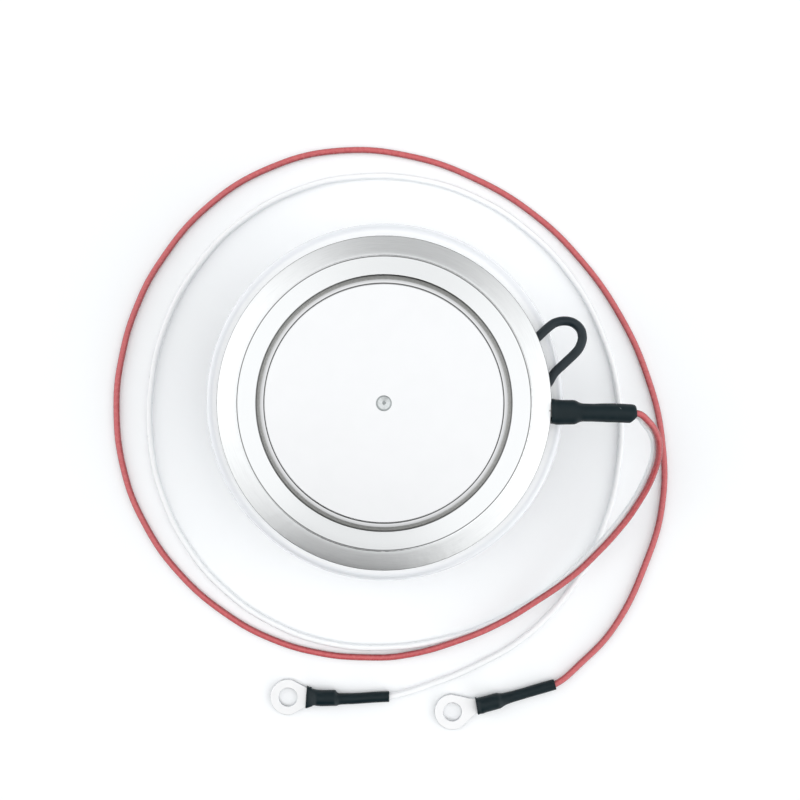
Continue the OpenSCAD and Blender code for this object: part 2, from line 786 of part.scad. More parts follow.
module jumper_sleeve() {
    color("darkslategray")
        hollow_tube(smooth(jumper_route, 2), jumper_d, jumper_bore_d, 12);
}

// Sections of the junction sleeve, as in loft()
junction_flat = [junction_flat_y, junction_flat_z, junction_half_w, junction_half_h, 3];
junction_round = [junction_y, junction_z, junction_r, junction_r, 2];
junction_far = [junction_end_y, junction_z, junction_r + junction_swell, junction_r, 2];
junction_mouth = [
    junction_mouth_y, junction_flat_z, junction_half_w + junction_lip, junction_half_h + junction_lip, 3
];
junction_taper = concat([(junction_flat_l + junction_taper_l) / 2], (junction_flat + junction_round) / 2);
junction_sections = [for (q = [
    concat([0], junction_mouth),
    concat([junction_mouth_l], junction_flat),
    concat([junction_flat_l], junction_flat),
    junction_taper,
    concat([junction_taper_l], junction_round),
    concat([junction_l - junction_round_l], junction_far),
    [junction_l, junction_end_y, junction_z, junction_end_r, junction_end_r, 2],
]) q + [junction_x, 0, 0, 0, 0, 0]];
// The room inside ends where the leads start
junction_hollow = concat(
    [junction_sections[0] - [eps, 0, 0, 0, 0, 0]],
    [for (i = [1 : 2]) junction_sections[i]],
    [concat([lead_start_x], [for (i = [1 : 5]) junction_sections[3][i]])]
);

// Bore for a lead in the closed end of the junction sleeve
module lead_pocket(y, z) {
    translate([lead_start_x - eps, y, z])
        rotate([0, 90, 0])
            cylinder(d = lead_d + 2 * pocket_gap, h = junction_l, $fn = 24);
}

module junction_sleeve() {
    junction_low_y = junction_end_y - junction_r - junction_swell;
    color("darkslategray")
        difference() {
            loft(junction_sections);
            loft(junction_hollow, -junction_wall);
            lead_pocket(red_exit_y, red_exit_z);
            lead_pocket(white_exit_y, white_exit_z);
            translate([0, 0, junction_z - junction_r - overshoot])
                linear_extrude(2 * (junction_r + overshoot))
                    polygon([
                        [junction_end_x - junction_corner - overshoot, junction_low_y - overshoot],
                        [junction_end_x + overshoot, junction_low_y - overshoot],
                        [junction_end_x + overshoot, junction_low_y + junction_corner + overshoot],
                    ]);
        }
}

module red_lead() {
    color("indianred")
        tube(red_route, lead_d, 8);
}

module white_lead() {
    color("white")
        tube(white_route, lead_d, 8);
}

// Ring terminal with the stud hole at the origin and the barrel along +X
module ring_terminal() {
    flank_w = ring_d / 2 - flank_inset;
    difference() {
        union() {
            translate([0, 0, tongue_z])
                linear_extrude(tongue_t) {
                    circle(d = ring_d);
                    polygon([
                        [flank_x, flank_w], [shoulder_x, shoulder_w / 2], [neck_x, barrel_d / 2],
                        [neck_x, -barrel_d / 2], [shoulder_x, -shoulder_w / 2], [flank_x, -flank_w],
                    ]);
                }
            hull() {
                translate([throat_x, -barrel_d / 2, tongue_z])
                    cube([throat_l, barrel_d, tongue_t]);
                translate([neck_x, 0, barrel_z])
                    rotate([0, 90, 0])
                        cylinder(d = barrel_d, h = throat_l, $fn = 32);
            }
            translate([neck_x, 0, barrel_z])
                rotate([0, 90, 0])
                    cylinder(d = barrel_d, h = barrel_l);
        }
        translate([0, 0, tongue_z - eps])
            cylinder(d = stud_hole_d, h = tongue_t + 2 * eps);
    }
}

// Sleeve shrunk over a terminal's barrel and the end of its lead
module terminal_sleeve(front, side, end_x) {
    front_r = front[2] / 2;
    thick = barrel_d / 2 + sleeve_wall;
    thin = lead_low_z;
    lean = atan2(side[1] - side[0], end_x - barrel_end);
    difference() {
        loft([
            [neck_x - front[0], 0, front_r, front[1] / 2, front_r, 4],
            [neck_x, 0, barrel_z, thick, thick, 2.4],
            [neck_x + sleeve_step_l, 0, barrel_z, thick, thick, 2],
            [barrel_end, 0, barrel_z, thick, thick, 2],
            [barrel_end + sleeve_step_l, side[0], thin, thin, thin, 2],
            [end_x, side[1], thin, thin, thin, 2],
        ]);
        ring_terminal();
        translate([barrel_end - pocket_gap, side[0], lead_low_z])
            rotate([0, 90, lean])
                cylinder(d = lead_d + 2 * pocket_gap, h = end_x, $fn = 24);
    }
}

module placed(stud, angle) {
    translate([stud[0], stud[1], 0])
        rotate([0, 0, angle])
            children();
}

module red_terminal() {
    color("whitesmoke")
        placed(red_stud, red_angle)
            ring_terminal();
}

module white_terminal() {
    color("whitesmoke")
        placed(white_stud, white_angle)
            ring_terminal();
}

module red_terminal_sleeve() {
    color("darkslategray")
        placed(red_stud, red_angle)
            terminal_sleeve(red_front, red_side, red_sleeve_end);
}

module white_terminal_sleeve() {
    color("darkslategray")
        placed(white_stud, white_angle)
            terminal_sleeve(white_front, white_side, white_sleeve_end);
}

cathode_pole();
cathode_lid();
weld_ring();
ceramic_ring();
anode_ring();
anode_pole();
cathode_disc();
silicon_wafer();
wafer_bead();
anode_disc();
locating_ring();
gate_bush();
gate_spring();
gate_pin();
gate_wire();
gate_wire_sleeve();
gate_tube();
cathode_tab();
cathode_solder();
gate_splice();
jumper_wire();
jumper_sleeve();
junction_sleeve();
red_lead();
white_lead();
red_terminal();
white_terminal();
red_terminal_sleeve();
white_terminal_sleeve();
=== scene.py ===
"""Reverse conducting thyristor in a flat ceramic capsule: the finish of every surface, the leads, the
sleeves and the ring terminals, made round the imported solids. All lengths are in metres."""

import json
import math
from collections import namedtuple

import bmesh
import bpy
from mathutils import Matrix, Vector, noise


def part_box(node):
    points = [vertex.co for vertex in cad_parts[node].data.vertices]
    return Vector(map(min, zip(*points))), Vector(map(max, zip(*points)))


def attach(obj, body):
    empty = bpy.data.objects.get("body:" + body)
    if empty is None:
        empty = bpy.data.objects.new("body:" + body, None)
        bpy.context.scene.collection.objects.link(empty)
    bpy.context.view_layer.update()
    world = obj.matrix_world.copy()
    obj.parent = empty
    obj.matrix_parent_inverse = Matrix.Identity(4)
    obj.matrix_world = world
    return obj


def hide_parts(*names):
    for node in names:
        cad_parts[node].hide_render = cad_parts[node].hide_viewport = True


MICRON = 0.000001

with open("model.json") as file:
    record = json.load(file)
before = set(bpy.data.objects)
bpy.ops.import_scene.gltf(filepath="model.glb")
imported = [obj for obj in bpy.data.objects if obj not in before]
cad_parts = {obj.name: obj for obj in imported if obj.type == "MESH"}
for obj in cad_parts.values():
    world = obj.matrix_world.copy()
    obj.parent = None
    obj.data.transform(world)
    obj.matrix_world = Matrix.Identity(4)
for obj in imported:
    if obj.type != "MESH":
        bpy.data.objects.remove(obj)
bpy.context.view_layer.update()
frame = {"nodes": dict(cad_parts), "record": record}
NODES = frame["nodes"]

# Camera, straight above the capsule
IMAGE_PX = 800
FOCAL_PX = 1083.5
PRINCIPAL_PX = (408.5, 368.5)
CAMERA_PLACE = (0.00546, 0.0077, 0.266)
SENSOR_MM = 36
CLIP_RANGE = (0.01, 50)

# Light: level of the room at the horizon and above, its uneven sides, and the long lamp. Each side has
# its direction, how much brighter it is there, how wide it is to either hand, and the sine of the angle
# off the zenith where it begins. Heights are sines of the angle above the horizon.
ROOM_COLOUR = (0.975, 0.99, 1.0, 1)
HORIZON_LEVEL = 1.18
ROOM_LEVEL = 1.19
UNEVEN_SIDES = [
    (math.radians(85), -0.5, math.radians(52), 0.26),
    (math.radians(257), -1.0, math.radians(38), 0.17),
    (math.radians(75), -0.2, math.radians(60), 0.6),
    (math.radians(250), -0.5, math.radians(60), 0.6),
    (math.radians(180), 0.5, math.radians(55), 0.68),
    (math.radians(340), 0.8, math.radians(60), 0.68),
]
SIDE_RISE = 0.22
SIDE_CORE = math.radians(7)
SIDE_HEIGHTS = (0.03, 0.2)
ROOM_HEIGHTS = (0.1, 0.4)
OVERHEAD_PLACE = (0, 0, 0.8)
OVERHEAD_SIZE = (4.0, 0.7)
OVERHEAD_TURN = math.radians(-15)
OVERHEAD_LEVEL = 0.25

# Table top, and what it gives off to the camera and in reflections
FLOOR_HALF = 3.0
FLOOR_GLOW = 0.06

# Radii and levels of the lid and the poles
RIM_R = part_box("cathode_lid")[1].x
LID_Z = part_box("cathode_lid")[1].z
RIM_Z = LID_Z - 0.0004
FACE_R = 0.0265
LEDGE_R = 0.0275
GROOVE_R = 0.0285
STEP_R = 0.03265
HOLE_R = 0.00175

# Where one finish, painted shade or painted light gives way to another, from the first radius or level
# to the second
FACE_EDGE = (FACE_R, FACE_R + 0.00002)
LEDGE_FADE = (LEDGE_R - 0.0009, LEDGE_R)
HOLE_EDGE = (HOLE_R - 0.00002, HOLE_R + 0.00004)
GROOVE_LEVEL = (LID_Z - 0.0003, LID_Z - 0.0001)
GROOVE_WALL = (GROOVE_R + 0.0003, GROOVE_R + 0.0005)
RIM_START = (STEP_R, STEP_R + 0.0012)
RIM_EDGE = (RIM_R - 0.00014, RIM_R - 0.00008)
LAND_EDGE = (RIM_R + 0.0017, RIM_R + 0.0025)

# Radii over which the annulus rises and over which the rim falls away
ANNULUS_RISE = (GROOVE_R - 0.0008, STEP_R + 0.0003)
RIM_FALL = (STEP_R, RIM_R + 0.0045)

# Painted shade lines round the metal, in the crease, at the hole's wall, on the groove's shoulder and at
# the step: inner and outer radius, and how soft their edges are
CREASE_LINE = (FACE_R + 0.00002, FACE_R + 0.00026, 0.00006)
HOLE_LINE = (HOLE_R - 0.00028, HOLE_R - 0.00002, 0.0001)
SHOULDER_LINE = (GROOVE_R - 0.00009, GROOVE_R + 0.0001, 0.00005)
STEP_LINE = (STEP_R - 0.00003, STEP_R + 0.00011, 0.00007)

# Spot weld over the tab: place, radius, and how soft its edge is
WELD_PLACE = (0.03695, -0.0017, RIM_Z)
WELD_R = 0.0001
WELD_SOFT = 0.00018

# Gate's fingers on the wafer: how many, and the radii over which they start
FINGERS = 12
FINGER_START = (0.004, 0.0045)

# How far up a surface has to face, as a cosine, to lose the painted shade on the flanks of plastic or on
# the edges of metal
FLANK_TILT = (0.5, 0.93)
EDGE_TILT = (0.85, 0.97)

# Black sleeve over the junction at the rim, and how much of its far corner is cut back
JUNCTION_LOW, JUNCTION_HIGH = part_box("junction_sleeve")
JUNCTION_END_Y = -0.0024
JUNCTION_END_R = 0.0021
CORNER_CUT = 0.0014
CORNER_REACH = 0.0012
CORNER_PULL = 0.8

# Leads: thickness, where they start inside the junction's sleeve, how far they run straight past the
# barrel, and before and past that sleeve's end, where they leave it, and the points between
LEAD_D = 0.0015
LEAD_START_X = 0.0433
LEAD_STRAIGHT = 0.0005
EXIT_STRAIGHT = (0.001, 0.0006)
RED_EXIT_YZ = (-0.0024, 0.02415)
WHITE_EXIT_YZ = (-0.0029, 0.02265)
RED_POINTS = [
    (0.059, -0.004, 0.0237), (0.0615, -0.007, 0.0214), (0.0625, -0.01, 0.0195), (0.0625, -0.016, 0.015),
    (0.059, -0.0255, 0.0094), (0.0555, -0.031, 0.0072), (0.0505, -0.037, 0.0055), (0.0455, -0.042, 0.0045),
    (0.036, -0.049, 0.0034), (0.028, -0.054, 0.0026), (0.019, -0.058, 0.0024), (0.004, -0.0625, 0.0011),
    (-0.005, -0.063, 0.0008), (-0.016, -0.062, 0.0008), (-0.028, -0.0585, 0.0008),
    (-0.039, -0.0525, 0.0008), (-0.051, -0.042, 0.0008), (-0.059, -0.0305, 0.0008),
    (-0.064, -0.018, 0.0008), (-0.066, -0.001, 0.0008), (-0.0645, 0.0115, 0.0008), (-0.061, 0.023, 0.0008),
    (-0.0555, 0.0335, 0.0008), (-0.0435, 0.0475, 0.0008), (-0.028, 0.057, 0.0008), (-0.0115, 0.061, 0.0008),
    (0.0065, 0.0595, 0.0008), (0.022, 0.054, 0.0008), (0.036, 0.0455, 0.0008), (0.047, 0.035, 0.0008),
    (0.057, 0.021, 0.0008), (0.064, 0.0055, 0.0008), (0.0675, -0.0095, 0.0008), (0.0675, -0.026, 0.0008),
    (0.0635, -0.04, 0.0008), (0.0555, -0.056, 0.0008), (0.0475, -0.0645, 0.0009),
]
WHITE_POINTS = [
    (0.0585, -0.0045, 0.0215), (0.0605, -0.007, 0.0201), (0.062, -0.0115, 0.0163), (0.0605, -0.02, 0.0105),
    (0.058, -0.0255, 0.0076), (0.0545, -0.031, 0.0054), (0.0495, -0.037, 0.0038), (0.0405, -0.0455, 0.0023),
    (0.0325, -0.051, 0.0014), (0.025, -0.055, 0.0009), (0.0165, -0.058, 0.0008), (0.001, -0.0605, 0.0008),
    (-0.014, -0.0595, 0.0008), (-0.028, -0.0545, 0.0008), (-0.0395, -0.0465, 0.0008),
    (-0.0485, -0.036, 0.0008), (-0.0545, -0.024, 0.0008), (-0.0575, -0.0115, 0.0008),
    (-0.0575, 0.004, 0.0008), (-0.054, 0.0185, 0.0008), (-0.046, 0.033, 0.0008), (-0.0345, 0.0445, 0.0008),
    (-0.02, 0.052, 0.0008), (-0.008, 0.0545, 0.0008), (0.0075, 0.054, 0.0008), (0.022, 0.0495, 0.0008),
    (0.0345, 0.0415, 0.0008), (0.045, 0.0305, 0.0008), (0.0525, 0.017, 0.0008), (0.057, 0, 0.0008),
    (0.057, -0.015, 0.0008), (0.053, -0.0315, 0.0008), (0.046, -0.045, 0.0008), (0.0345, -0.0575, 0.0008),
    (0.021, -0.0655, 0.0008), (0.0125, -0.069, 0.0008),
]

# Black loop on the gate wire: distance out from the rim, and y
LOOP_Z = 0.0221
LOOP_START = [(0.03318, 0.01351), (0.03459, 0.01479)]
LOOP_POINTS = [
    (-0.0003, 0.017), (0.0012, 0.018), (0.0032, 0.0184), (0.0052, 0.018), (0.0068, 0.0166),
    (0.0073, 0.0147), (0.0069, 0.013), (0.0059, 0.0114), (0.0032, 0.0088), (0.0011, 0.0068),
    (-0.0001, 0.0049), (-0.0011, 0.0033), (-0.0014, 0.0018), (-0.0012, 0.0003), (-0.0005, -0.0009),
    (0.0007, -0.0016), (0.0019, -0.002),
]
LOOP_D = 0.0021
LOOP_WALL = 0.0003
LOOP_MOUTH = 0.0008
LOOP_SIDES = 32
LOOP_STEPS = 8

# Ring terminals: sizes, with x measured from the stud hole along each of them
STUD_HOLE_R = 0.00225
RING_R = 0.00435
RING_OPEN_ANGLE = math.radians(78)
RING_SIDES = 72
TONGUE_SIDE = [(0.0046, -0.0023), (0.0056, -0.0019), (0.0066, -0.0017)]
TONGUE_LOW_Z = 0.0003
TONGUE_T = 0.0008
EDGE_ROUND = 0.00013
NECK_X = 0.0065
BARREL_END_X = 0.0117
BARREL_R = 0.0016
BARREL_SIDES = 40
LEAD_LOW_Z = 0.0013
NECK_STEP = 0.0002

# Shrunk sleeves: the wall, how far the skin runs back inside, how far the mouth lies in and its lip
# stands out, the swells of the skin, its mesh, and how far along a slanted front is felt
SHRINK_WALL = 0.0003
MOUTH_DEPTH = 0.0012
MOUTH_INSET = 0.00005
LIP_REACH = 0.00008
SWELL_SIZE = 0.0016
SWELL_DEPTH = 0.00003
SLEEVE_SIDES = 56
SLEEVE_STEP = 0.00025
SLANT_REACH = 0.0015

# What differs between the two terminals:
#   mount       stud hole in the record
#   angle       direction of the terminal
#   side        the lead's place to the left, at the barrel's end and at the sleeve's end
#   end_x       end of the sleeve
#   before      how far before the neck the sleeve's front is
#   front_w, front_h    width and height of that front
#   slant       how far its right side starts before its left
#   flare       sections up to the barrel: distance past the neck, place to the left, half height,
#               half width and squareness
#   taper       how long the step from the barrel down to the tail is drawn out
Terminal = namedtuple("Terminal", "mount angle side end_x before front_w front_h slant flare taper")
RED_TERMINAL = Terminal(
    mount="red_terminal_hole",
    angle=math.radians(15.3),
    side=(-0.00015, 0),
    end_x=0.0259,
    before=0.0004,
    front_w=0.0041,
    front_h=0.0028,
    slant=0.0004,
    flare=[
        (0.0001, -0.00008, 0.0016, 0.00188, 2.8),
        (0.0008, -0.00004, 0.0019, 0.00192, 2.2),
    ],
    taper=1.0,
)
WHITE_TERMINAL = Terminal(
    mount="white_terminal_hole",
    angle=math.radians(0.5),
    side=(-0.0004, 0.00005),
    end_x=0.0247,
    before=0.002,
    front_w=0.0054,
    front_h=0.0018,
    slant=0.0004,
    flare=[
        (-0.0014, -0.00006, 0.00095, 0.00248, 3.4),
        (-0.0008, -0.00002, 0.00115, 0.0022, 3.0),
        (0, 0.00014, 0.0016, 0.0019, 2.5),
        (0.0008, 0.00008, 0.0019, 0.0019, 2.2),
    ],
    taper=0.45,
)

# Angles past which an edge is shaded sharp, on skins and on the stamped terminals, or rounded off
SKIN_SHARP = math.radians(50)
STAMPED_SHARP = math.radians(12)
ROUNDED_FROM = math.radians(60)

# Scuff on the junction's sleeve: places along it, its half width, and how soft its edges are
SCUFF = [(0.0522 + 0.00014 * k, -0.0006 - 0.00018 * k, 0.025 + 0.00002 * k) for k in range(7)]
SCUFF_R = 0.00003
SCUFF_SOFT = 0.0001


def make_camera():
    """Camera that looks straight down, with its frame shifted as in the photograph."""
    data = bpy.data.cameras.new("camera")
    data.sensor_width = SENSOR_MM
    data.lens = SENSOR_MM * FOCAL_PX / IMAGE_PX
    data.shift_x = (IMAGE_PX / 2 - PRINCIPAL_PX[0]) / IMAGE_PX
    data.shift_y = (PRINCIPAL_PX[1] - IMAGE_PX / 2) / IMAGE_PX
    data.clip_start, data.clip_end = CLIP_RANGE
    camera = bpy.data.objects.new("camera", data)
    camera.location = CAMERA_PLACE
    bpy.context.scene.collection.objects.link(camera)
    bpy.context.scene.camera = camera


def add_object(name, data, material, slot=None):
    """Puts a new piece in the scene with its material, on the part's one body when it is given a slot."""
    piece = bpy.data.objects.new(name, data)
    bpy.context.scene.collection.objects.link(piece)
    data.materials.append(material)
    if slot:
        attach(piece, "root")
    return piece


def on_terminal(terminal):
    """Matrix from a terminal's own frame, on the table under its stud hole, to the shared one."""
    stud = next(m["pos_m"] for m in frame["record"]["mounts"] if m["name"] == terminal.mount)
    return Matrix.Translation((stud[0], stud[1], 0)) @ Matrix.Rotation(terminal.angle, 4, "Z")


# Surfaces


class Graph:
    """Short calls that add nodes to a node tree. Each of them returns an output socket."""

    def __init__(self, tree):
        self.tree = tree

    def add(self, kind, **settings):
        node = self.tree.nodes.new(kind)
        for key, value in settings.items():
            setattr(node, key, value)
        return node

    def feed(self, socket, value):
        """Links a socket to another one, or gives it a plain value."""
        if isinstance(value, bpy.types.NodeSocket):
            self.tree.links.new(value, socket)
        else:
            socket.default_value = value

    def math(self, operation, *values):
        node = self.add("ShaderNodeMath", operation=operation)
        for socket, value in zip(node.inputs, values):
            self.feed(socket, value)
        return node.outputs[0]

    def axes(self, place):
        node = self.add("ShaderNodeSeparateXYZ")
        self.feed(node.inputs[0], place)
        return node.outputs

    def off_axis(self, place):
        """Distance from the vertical axis."""
        x, y, _ = self.axes(place)
        return self.math("SQRT", self.math("ADD", self.math("MULTIPLY", x, x), self.math("MULTIPLY", y, y)))

    def span(self, value, low, high, from_low=0.0, from_high=1.0):
        """value taken from one range to another with a smooth step."""
        node = self.add("ShaderNodeMapRange", interpolation_type="SMOOTHSTEP")
        for socket, given in zip(node.inputs, (value, from_low, from_high, low, high)):
            self.feed(socket, given)
        return node.outputs[0]

    def band(self, value, low, high, soft):
        """1 between two values, falling softly to 0 outside them."""
        rise = self.span(value, 0, 1, low - soft, low)
        return self.math("MULTIPLY", rise, self.span(value, 1, 0, high, high + soft))


class Surface(Graph):
    """A material made of patterns in the frame's own coordinates."""

    def __init__(self, name, **settings):
        self.material = bpy.data.materials.new(name)
        self.material.use_nodes = True
        super().__init__(self.material.node_tree)
        self.shader = self.tree.nodes["Principled BSDF"]
        self.place = self.add("ShaderNodeTexCoord").outputs["Object"]
        for socket, value in settings.items():
            self.set(socket.replace("_", " "), value)

    def set(self, socket, value):
        self.feed(self.shader.inputs[socket], value)

    def radius(self):
        """Distance from the capsule's axis."""
        return self.off_axis(self.place)

    def noise(self, size, detail=2.0, place=None):
        """Cloudy pattern whose features are about that size."""
        mapping = self.add("ShaderNodeMapping")
        self.feed(mapping.inputs["Vector"], place or self.place)
        mapping.inputs["Scale"].default_value = [1 / size] * 3
        node = self.add("ShaderNodeTexNoise")
        node.inputs["Scale"].default_value = 1
        node.inputs["Detail"].default_value = detail
        self.feed(node.inputs["Vector"], mapping.outputs[0])
        return node.outputs["Fac"]

    def lines(self, value, pitch):
        """Uneven lines across a value such as the radius, about that far apart."""
        node = self.add("ShaderNodeTexNoise", noise_dimensions="1D")
        node.inputs["Scale"].default_value = 1
        node.inputs["Detail"].default_value = 2
        self.feed(node.inputs["W"], self.math("DIVIDE", value, pitch))
        return node.outputs["Fac"]

    def arcs(self, length, width):
        """Short uneven strokes round the capsule's axis, of that length and width."""
        radius = self.radius()
        x, y, _ = self.axes(self.place)
        node = self.add("ShaderNodeCombineXYZ")
        for socket, value in zip(node.inputs, (x, y)):
            self.feed(socket, self.math("DIVIDE", self.math("DIVIDE", value, radius), length / RIM_R))
        self.feed(node.inputs[2], self.math("DIVIDE", radius, width))
        return self.noise(1, 3, node.outputs[0])

    def mix(self, factor, first, second):
        """Colour between two others."""
        node = self.add("ShaderNodeMix", data_type="RGBA")
        self.feed(node.inputs["Factor"], factor)
        for socket, value in zip((node.inputs[6], node.inputs[7]), (first, second)):
            self.feed(socket, value if isinstance(value, bpy.types.NodeSocket) else (*value, 1))
        return node.outputs[2]

    def bump(self, height, microns):
        """Relief of that depth, on top of any earlier one."""
        node = self.add("ShaderNodeBump")
        node.inputs["Distance"].default_value = microns * MICRON
        self.feed(node.inputs["Height"], height)
        normal = self.shader.inputs["Normal"]
        if normal.is_linked:
            self.feed(node.inputs["Normal"], normal.links[0].from_socket)
        self.feed(normal, node.outputs[0])

    def upward(self):
        """1 where the surface faces straight up, 0 on a wall."""
        return self.axes(self.add("ShaderNodeNewGeometry").outputs["Normal"])[2]

    def near(self, places, reach, softness):
        """1 within reach of any of the places, 0 further away."""
        nearest = None
        for place in places:
            node = self.add("ShaderNodeVectorMath", operation="DISTANCE")
            self.feed(node.inputs[0], self.place)
            node.inputs[1].default_value = place
            distance = node.outputs["Value"]
            nearest = distance if nearest is None else self.math("MINIMUM", nearest, distance)
        return self.span(nearest, 1, 0, reach, reach + softness)


def turned_metal(name, colour, roughness, pitch, pole=False):
    """Metal faced on a lathe and then lapped: fine rings and cloudy wear. A pole also has a painted shade
    line in the crease where its face drops to the ledge, painted shade that darkens the ledge toward the
    groove, and a drilled hole darkened with painted shade, with a painted shade line at its wall."""
    s = Surface(name, Metallic=1.0)
    radius = s.radius()
    rings = s.lines(radius, pitch)
    cloud = s.noise(0.009, 4)
    shade = s.mix(s.span(cloud, 0, 1, 0.35, 0.75), colour, [c * 0.992 for c in colour])
    if pole:
        # Painted shade: a dark line in the crease where the face drops to the ledge.
        crease = s.band(radius, *CREASE_LINE)
        # Painted shade: the ledge darkens toward the groove, outside the face's edge.
        ledge = s.span(radius, 0.04, 0.4, *LEDGE_FADE)
        ledge = s.math("MULTIPLY", ledge, s.span(radius, 0, 1, *FACE_EDGE))
        shade = s.mix(s.math("MAXIMUM", crease, ledge), shade, (0.1, 0.1, 0.1))
        # Painted shade: the drilled hole is darker than the face, and darkest in a line at its wall.
        drilled = s.mix(s.noise(0.00035, 3), (0.4, 0.42, 0.42), (0.74, 0.76, 0.76))
        wall = s.band(radius, *HOLE_LINE)
        drilled = s.mix(s.math("MULTIPLY", wall, 0.75), drilled, (0.24, 0.26, 0.26))
        shade = s.mix(s.span(radius, 1, 0, *HOLE_EDGE), shade, drilled)
    s.set("Base Color", shade)
    s.set("Roughness", s.span(s.noise(0.0025, 5), roughness - 0.01, roughness + 0.01, 0.3, 0.7))
    s.bump(rings, 0.8)
    s.bump(s.noise(0.0004, 3), 0.5)
    return s.material


def lid_metal():
    """Brushed sheet of the lid: bright annulus, streaked rim that falls away a little, dull brazing in the
    groove darkened further with painted shade, painted shade lines at the groove's shoulder, the step and
    the rim's edge, and a spot weld."""
    s = Surface("lid_sheet", Metallic=1.0, Anisotropic=0.94, Anisotropic_Rotation=0.25)
    tangent = s.add("ShaderNodeTangent", direction_type="RADIAL", axis="Z")
    s.set("Tangent", tangent.outputs[0])
    radius = s.radius()
    height = s.axes(s.place)[2]
    streaks = s.arcs(0.004, 0.00012)
    fine = s.lines(radius, 0.0001)
    on_rim = s.span(radius, 0, 1, *RIM_START)
    low = s.span(height, 1, 0, *GROOVE_LEVEL)
    in_groove = s.math("MULTIPLY", low, s.span(radius, 1, 0, *GROOVE_WALL))
    worn = s.span(streaks, 0, 1, 0.4, 0.7)
    sheet = s.mix(on_rim, (0.683, 0.688, 0.69), s.mix(worn, (0.835, 0.84, 0.84), (0.79, 0.796, 0.796)))
    # Brazing in the groove, its colour darkened further as painted shade in the recess.
    braze_and_shade = s.mix(s.noise(0.00035, 3), (0.33, 0.33, 0.32), (0.6, 0.6, 0.58))
    weld = s.near([WELD_PLACE], WELD_R, WELD_SOFT)
    # Painted shade lines at the step, along the rim's rounded edge and on the groove's shoulder.
    step = s.band(radius, *STEP_LINE)
    edge = s.span(radius, 0, 1, *RIM_EDGE)
    shoulder = s.math("MULTIPLY", s.band(radius, *SHOULDER_LINE), 0.55)
    shade = s.mix(weld, s.mix(in_groove, sheet, braze_and_shade), (0.45, 0.44, 0.42))
    line = s.math("MAXIMUM", s.math("MAXIMUM", step, edge), shoulder)
    shade = s.mix(s.math("MULTIPLY", line, 0.92), shade, (0.08, 0.08, 0.08))
    s.set("Base Color", shade)
    brushed = s.math("ADD", s.span(fine, 0.17, 0.23, 0.3, 0.7), s.math("MULTIPLY", on_rim, 0.23))
    s.set("Roughness", s.math("ADD", brushed, s.math("MULTIPLY", in_groove, 0.25)))
    s.bump(fine, 0.8)
    s.bump(s.math("MULTIPLY", streaks, on_rim), 0.9)
    s.bump(s.math("MULTIPLY", s.noise(0.0024, 4), on_rim), 60)
    s.bump(s.span(radius, 0, 1, *ANNULUS_RISE), 140)
    s.bump(s.math("POWER", s.span(radius, 0, 1, *RIM_FALL), 2), -1150)
    return s.material


def sheet_metal(name, colour, roughness):
    """Pressed and plated sheet, faintly brushed round the axis."""
    s = Surface(name, Metallic=1.0)
    streaks = s.arcs(0.004, 0.0002)
    s.set("Base Color", s.mix(s.span(streaks, 0, 1, 0.3, 0.7), colour, [c * 0.88 for c in colour]))
    s.set("Roughness", s.span(s.noise(0.002, 4), roughness - 0.06, roughness + 0.08, 0.3, 0.7))
    s.bump(streaks, 1.5)
    return s.material


def glaze():
    """White glazed ceramic: glossy, with painted light that makes it whitest on the land beside the rim,
    and with the slight waviness of a fired glaze."""
    s = Surface("glazed_ceramic", Coat_Weight=1.0, Coat_Roughness=0.04, IOR=1.55)
    cloud = s.noise(0.012, 3)
    white = s.mix(s.span(cloud, 0, 1, 0.3, 0.7), (0.856, 0.867, 0.896), (0.846, 0.861, 0.891))
    # Painted light: the land beside the rim, under the rim's overhang, is whiter than the rest of the
    # glaze.
    land = s.span(s.radius(), 1, 0, *LAND_EDGE)
    s.set("Base Color", s.mix(land, white, (0.985, 0.99, 1)))
    s.set("Roughness", s.span(s.noise(0.003, 3), 0.12, 0.24, 0.3, 0.7))
    s.bump(s.noise(0.004, 2), 10)
    s.bump(s.noise(0.0005, 3), 1.5)
    return s.material


def plastic(name, colour, roughness, grain, microns, shade=0.85, flank_shade=None, marks=None, **settings):
    """Moulded or extruded plastic and rubber with a fine uneven surface. Shade is how dark its clouds
    are, the colour given for the flanks is painted shade on the sides that face less upward, and marks
    are places with a light scuff."""
    s = Surface(name, **settings)
    tone = s.mix(s.span(s.noise(0.004, 4), 0, 1, 0.3, 0.7), colour, [c * shade for c in colour])
    # Painted shade: the sides that face less upward are painted darker.
    if flank_shade:
        tone = s.mix(s.span(s.upward(), 1, 0, *FLANK_TILT), tone, flank_shade)
    if marks:
        scuffed = s.math("MULTIPLY", s.near(marks, SCUFF_R, SCUFF_SOFT), 0.5)
        tone = s.mix(scuffed, tone, (0.5, 0.55, 0.55))
    s.set("Base Color", tone)
    s.set("Roughness", s.span(s.noise(grain * 4, 3), roughness - 0.07, roughness + 0.07, 0.3, 0.7))
    s.bump(s.noise(grain, 3), microns)
    return s.material


def plain_metal(name, colour, roughness, grain, microns, shade=0.86, edges=None):
    """Plated or drawn metal of the small pieces, with a grain and slight stains. Shade is how dark the
    stains are, and edges is the painted shade on the walls and rounded edges."""
    s = Surface(name, Metallic=1.0)
    tone = s.mix(s.span(s.noise(0.0018, 4), 0, 1, 0.35, 0.7), colour, [c * shade for c in colour])
    # Painted shade: the walls and rounded edges that face less upward are darker.
    if edges:
        tone = s.mix(s.span(s.upward(), 1, 0, *EDGE_TILT), tone, edges)
    s.set("Base Color", tone)
    s.set("Roughness", s.span(s.noise(grain * 3, 3), roughness - 0.08, roughness + 0.1, 0.3, 0.7))
    s.bump(s.noise(grain, 4), microns)
    return s.material


